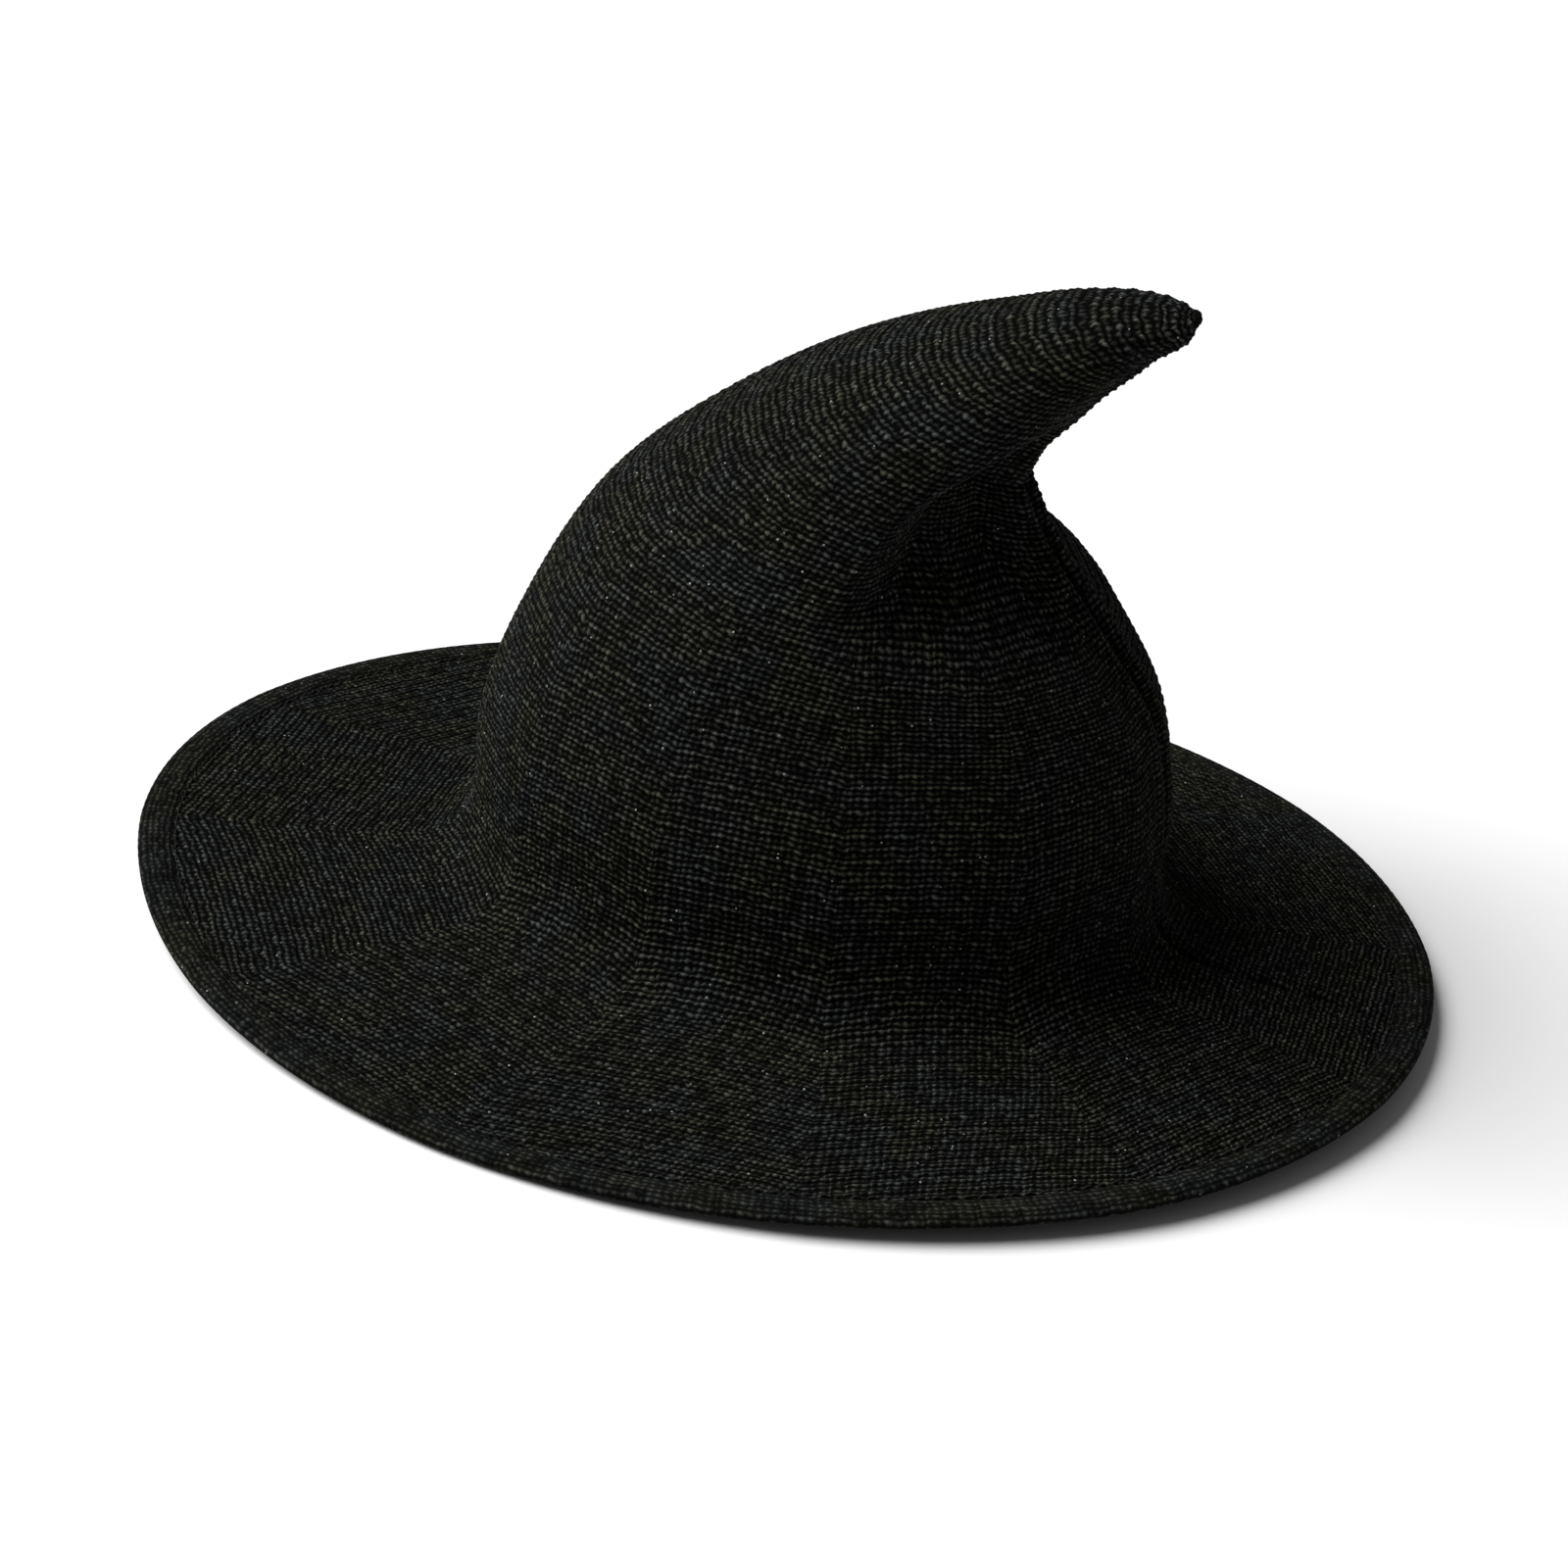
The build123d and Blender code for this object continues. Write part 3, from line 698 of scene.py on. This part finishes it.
for place, (low, high) in brim_spans.items():
    points, faces = [], []
    for k in range(round((high - low) / stitch_turn)):
        turn = np.radians(low + (k + stitch_part) * stitch_turn)
        for side in (1, -1):
            line = hem_line(turn, stitch_inset, 0.2)
            line[:, 2] += side * (0.8 + 0.95 * bow)
            size = 0.2 + 0.16 * bow
            tube, tube_faces = tube_along(line, size, size, 6)
            faces += [np.asarray(f) + len(tube) * len(points) for f in tube_faces]
            points.append(tube)
    points = np.concatenate(points)
    corners = sum(len(f) for f in faces)
    piece = mesh_object(f"hem_{place}_stitches", points, faces, np.zeros((corners, 2)))
    piece.data.materials.append(thread)
    follow(piece, place)
    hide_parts(f"hem_stitching_{place}")

# ------------------------------------------------------------------ the seam inside
# The two linked edges of the knit stand inward as one soft ridge. It runs down the back
# of the crown and tip, and under the back of the brim.
ridge_half_width, ridge_half_height = 1.2, 2.4
ridge_sides = 12


def seam_ridge(name, grids, v_low, v_high):
    """A soft ridge along the inner side of the seam, between two places up the hat."""
    lines = []
    for grid in grids:
        v = grid["v"][:, 0]
        inward = (grid["inner"] - grid["base"])[:, 0]
        inward /= np.linalg.norm(inward, axis=1, keepdims=True)
        line = grid["inner"][:, 0] + inward * (ridge_half_height - 0.3)
        lines.append(line[(v >= v_low) & (v <= v_high)][::4])
    line = np.concatenate(lines)
    size = np.minimum(1, 0.25 + np.minimum(np.arange(len(line)), np.arange(len(line))[::-1]) / 4)
    points, faces = tube_along(line, ridge_half_width * size, ridge_half_height * size,
                               ridge_sides, across=(0.0, 1.0, 0.0))
    along = np.concatenate([[0], np.cumsum(path_steps(line))]) / ridge_height
    point_places = np.stack([
        np.tile(np.arange(ridge_sides) / 4, len(line)), np.repeat(along, ridge_sides)
    ], -1)
    heights = np.full(len(points), plain_loft)
    return mesh_object(name, points, faces, point_places[np.concatenate(faces)], heights)


crown_ridge = seam_ridge("crown_seam_ridge", (crown_grid, tip_grid), ridge_at[foot + 1] + 1,
                         ridge_at[fold + 2])
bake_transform(crown_ridge)
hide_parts("crown_seam_allowance", "tip_seam_allowance")
brim_ridge = seam_ridge("brim_seam_ridge", (brim_grid,), 0.5, ridge_at[1] - 6)
follow(brim_ridge, "back")
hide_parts("brim_seam_allowance")
for piece in (crown_ridge, brim_ridge):
    piece.data.materials.append(knit_finish)

# ------------------------------------------------------------------ sweatband and label
# A band of ribbed black ribbon is sewn inside the foot of the crown, with its end turned
# over its start at the back. A plain care label is sewn beside the join.
ribbon = bpy.data.materials.new("ribbed_ribbon")
ribbon_shader = shader_of(ribbon)
n = Nodes(ribbon)
ribbon_coords = n.add("ShaderNodeTexCoord").outputs["Object"]
ribs = n.add("ShaderNodeTexWave", bands_direction="Z")
ribs.inputs["Scale"].default_value = 300
ribs.inputs["Distortion"].default_value = 0.3
n.join(ribbon_coords, ribs.inputs["Vector"])
# The grooves between the ribs are painted darker, as shade.
n.join(n.ramp(ribs.outputs["Fac"], (0.2, (0.008, 0.008, 0.009)), (0.8, (0.02, 0.02, 0.021))),
       ribbon_shader.inputs["Base Color"])
n.join(n.bump(ribs.outputs["Fac"], 0.0003, 0.6), ribbon_shader.inputs["Normal"])
ribbon_shader.inputs["Roughness"].default_value = 0.45

label_cloth = bpy.data.materials.new("label_satin")
label_shader = shader_of(label_cloth)
n = Nodes(label_cloth)
label_coords = n.add("ShaderNodeTexCoord").outputs["Object"]
n.join(n.ramp(n.noise(label_coords, 2200, 2.0), (0.3, (0.62, 0.62, 0.6)), (0.7, (0.72, 0.72, 0.7))),
       label_shader.inputs["Base Color"])
label_shader.inputs["Roughness"].default_value = 0.4
inside = {
    "sweatband": ribbon, "sweatband_tab": ribbon, "sweatband_stitching": thread,
    "care_label": label_cloth,
}
for name, finish in inside.items():
    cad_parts[name].data.materials.clear()
    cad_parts[name].data.materials.append(finish)

# ------------------------------------------------------------------ floor, light, camera
# A pale floor under soft studio light, seen from one side and a little above, with the
# tip pointing to the right.
bpy.ops.mesh.primitive_plane_add(size=60, location=(0, 0, 0))
floor = bpy.context.object
floor.name = "floor"
floor_finish = bpy.data.materials.new("pale_floor")
floor_shader = shader_of(floor_finish)
floor_shader.inputs["Base Color"].default_value = (0.7, 0.7, 0.7, 1)
floor_shader.inputs["Roughness"].default_value = 0.9
floor.data.materials.append(floor_finish)

key_direction = Vector((1.0, 0.22, -1.15))
key_data = bpy.data.lights.new("soft_key", "SUN")
key_data.energy = 5.9
key_data.angle = math.radians(50)
key = bpy.data.objects.new("soft_key", key_data)
key.rotation_euler = key_direction.to_track_quat("-Z", "Y").to_euler()
bpy.context.scene.collection.objects.link(key)
world = bpy.data.worlds.new("studio")
bpy.context.scene.world = world
world.use_nodes = True
world.node_tree.nodes["Background"].inputs["Color"].default_value = (1, 1, 1, 1)
world.node_tree.nodes["Background"].inputs["Strength"].default_value = 0.15
bpy.context.scene.view_settings.view_transform = "Standard"

camera_data = bpy.data.cameras.new("camera")
camera = bpy.data.objects.new("camera", camera_data)
bpy.context.scene.collection.objects.link(camera)
bpy.context.scene.camera = camera
elevation, azimuth, roll = (math.radians(degrees) for degrees in (28.0, 12.2, 6.66))
side = Vector((math.cos(azimuth), math.sin(azimuth), 0))
view = Vector((
    -math.sin(azimuth) * math.cos(elevation),
    math.cos(azimuth) * math.cos(elevation),
    -math.sin(elevation),
))
top = side.cross(view)
right = math.cos(roll) * side + math.sin(roll) * top
above = -math.sin(roll) * side + math.cos(roll) * top
camera_distance = 1.2
aim = Vector((0, 0, 0.006))
place = aim - view * camera_distance
turned = Matrix((right, above, -view)).transposed()
camera.matrix_world = Matrix.Translation(place) @ turned.to_4x4()
camera_data.sensor_width = 36
camera_data.lens = 93.75
camera_data.shift_x = -0.00125
camera_data.shift_y = 0.07125
camera_data.clip_start, camera_data.clip_end = 0.05, 50
